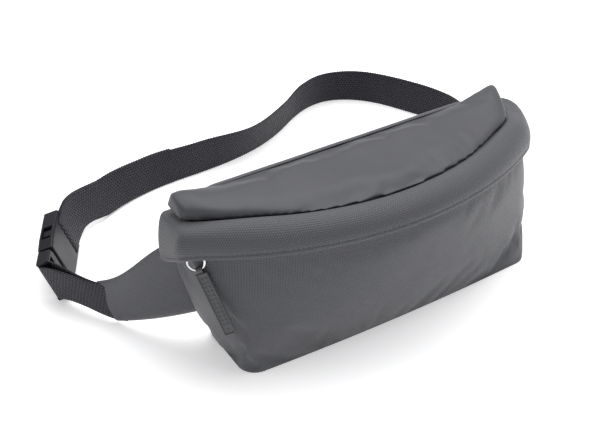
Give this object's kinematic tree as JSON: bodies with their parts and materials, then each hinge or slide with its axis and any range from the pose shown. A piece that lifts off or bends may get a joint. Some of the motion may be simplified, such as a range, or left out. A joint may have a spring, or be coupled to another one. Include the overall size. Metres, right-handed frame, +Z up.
{
  "type": "waist bag",
  "caption": "Zipped fabric waist bag with a covered curved zip, padded back, side wings and an adjustable webbing belt closed by a side-release buckle.",
  "frame": {"origin": "centre of the pouch's flat bottom, on the surface it stands on", "axes": "+X along the bag to the wearer's left, +Y to the back panel and the wearer, +Z up"},
  "size_m": [0.4023, 0.3166, 0.1219],
  "materials": {
    "panel_fabric": "fine weave with a soft matt coating",
    "binding": "folded self fabric",
    "lining": "thin plain weave",
    "foam": "closed-cell foam",
    "zip_tape": "woven tape",
    "zip_teeth": "moulded",
    "zip_metal": "bright plated",
    "ring_metal": "bright plated wire",
    "pull_rubber": "moulded with raised rims",
    "webbing": "coarse ribbed weave",
    "buckle_plastic": "satin moulded"
  },
  "bodies": {
    "bag": {"front_panel": "panel_fabric", "back_panel": "panel_fabric", "bottom_panel": "panel_fabric", "lid_fold_binding": "binding", "pouch_lining": "lining", "back_padding": "foam", "zip_tape_lower": "zip_tape", "zip_teeth_lower": "zip_teeth", "zip_stop_left": "zip_metal", "zip_stop_right": "zip_metal", "wing_left_front": "panel_fabric", "wing_left_back": "panel_fabric", "wing_left_core": "foam", "wing_right_front": "panel_fabric", "wing_right_back": "panel_fabric", "wing_right_core": "foam", "long_strap": "webbing", "strap_tail": "webbing", "short_strap": "webbing", "buckle_plug": "buckle_plastic"},
    "lid": {"zip_cover_band": "panel_fabric", "top_panel": "panel_fabric", "lid_lining": "lining", "zip_tape_upper": "zip_tape", "zip_teeth_upper": "zip_teeth"},
    "slider": {"zip_slider": "zip_metal", "slider_loop": "zip_metal"},
    "ring": {"puller_ring": "ring_metal"},
    "tab": {"pull_tab": "pull_rubber"},
    "socket": {"buckle_socket": "buckle_plastic", "strap_end": "webbing"},
    "upper_prong": {"prong_upper": "buckle_plastic"},
    "lower_prong": {"prong_lower": "buckle_plastic"}
  },
  "joints": [
    {"name": "lid_open", "type": "hinge", "parent": "bag", "child": "lid", "pos_m": [0, 0.032, 0.1146], "axis": [-1, 0, 0], "range_deg": [0, 70]},
    {"name": "zip_slide", "type": "hinge", "parent": "bag", "child": "slider", "pos_m": [0, 0.15885, 0.08043], "axis": [0, 0.1167, 0.9932], "range_deg": [0, 70]},
    {"name": "ring_sway", "type": "hinge", "parent": "slider", "child": "ring", "pos_m": [-0.13699, -0.00758, 0.0931], "axis": [0.6269, 0.7398, -0.2444], "range_deg": [0, 40]},
    {"name": "tab_lift", "type": "hinge", "parent": "ring", "child": "tab", "pos_m": [-0.13603, -0.01002, 0.08816], "axis": [-0.7601, 0.5119, -0.4003], "range_deg": [0, 100]},
    {"name": "buckle_release", "type": "slide", "parent": "bag", "child": "socket", "axis": [0.4848, 0.8746, 0], "range_m": [0, 0.011]},
    {"name": "prong_upper_press", "type": "hinge", "parent": "bag", "child": "upper_prong", "pos_m": [-0.1863, 0.12829, 0.02943], "axis": [-0.8165, 0.4526, -0.3584], "range_deg": [-1, 12], "stiffness_Nm_per_rad": 0.6},
    {"name": "prong_lower_press", "type": "hinge", "parent": "bag", "child": "lower_prong", "pos_m": [-0.17965, 0.12461, 0.00964], "axis": [-0.8165, 0.4526, -0.3584], "range_deg": [-12, 1], "stiffness_Nm_per_rad": 0.6}
  ],
  "couplings": [
    {"joint": "prong_upper_press", "follows": "buckle_release", "rad_per_m": 17.453},
    {"joint": "prong_lower_press", "follows": "buckle_release", "rad_per_m": -17.453}
  ]
}
